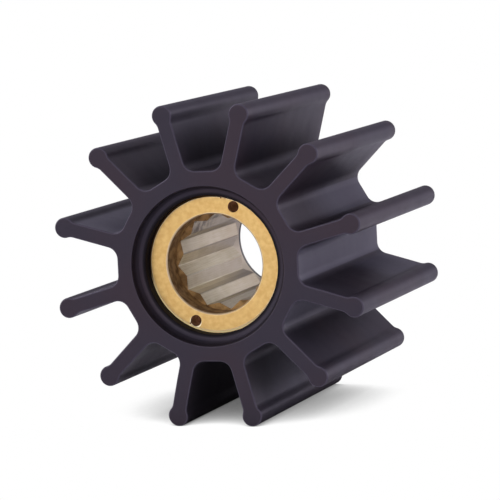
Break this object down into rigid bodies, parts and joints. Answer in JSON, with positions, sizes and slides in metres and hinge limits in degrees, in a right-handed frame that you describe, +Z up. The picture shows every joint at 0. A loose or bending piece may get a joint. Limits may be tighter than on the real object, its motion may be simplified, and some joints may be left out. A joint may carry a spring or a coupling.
{
  "type": "rubber pump impeller",
  "caption": "Flexible-vane impeller for a raw-water pump: moulded rubber hub and beaded straight vanes on a splined brass insert.",
  "frame": {"origin": "on the shaft axis, half way along the rubber's width", "axes": "+Y along the shaft axis, from the face with the puller holes to the far face; +Z up as it lies on two vane tips"},
  "size_m": [0.092, 0.0776, 0.092],
  "materials": {
    "rubber": "matt moulded",
    "brass": "turned and broached"
  },
  "bodies": {
    "root": {"rubber_impeller": "rubber", "brass_insert": "brass"}
  },
  "joints": []
}
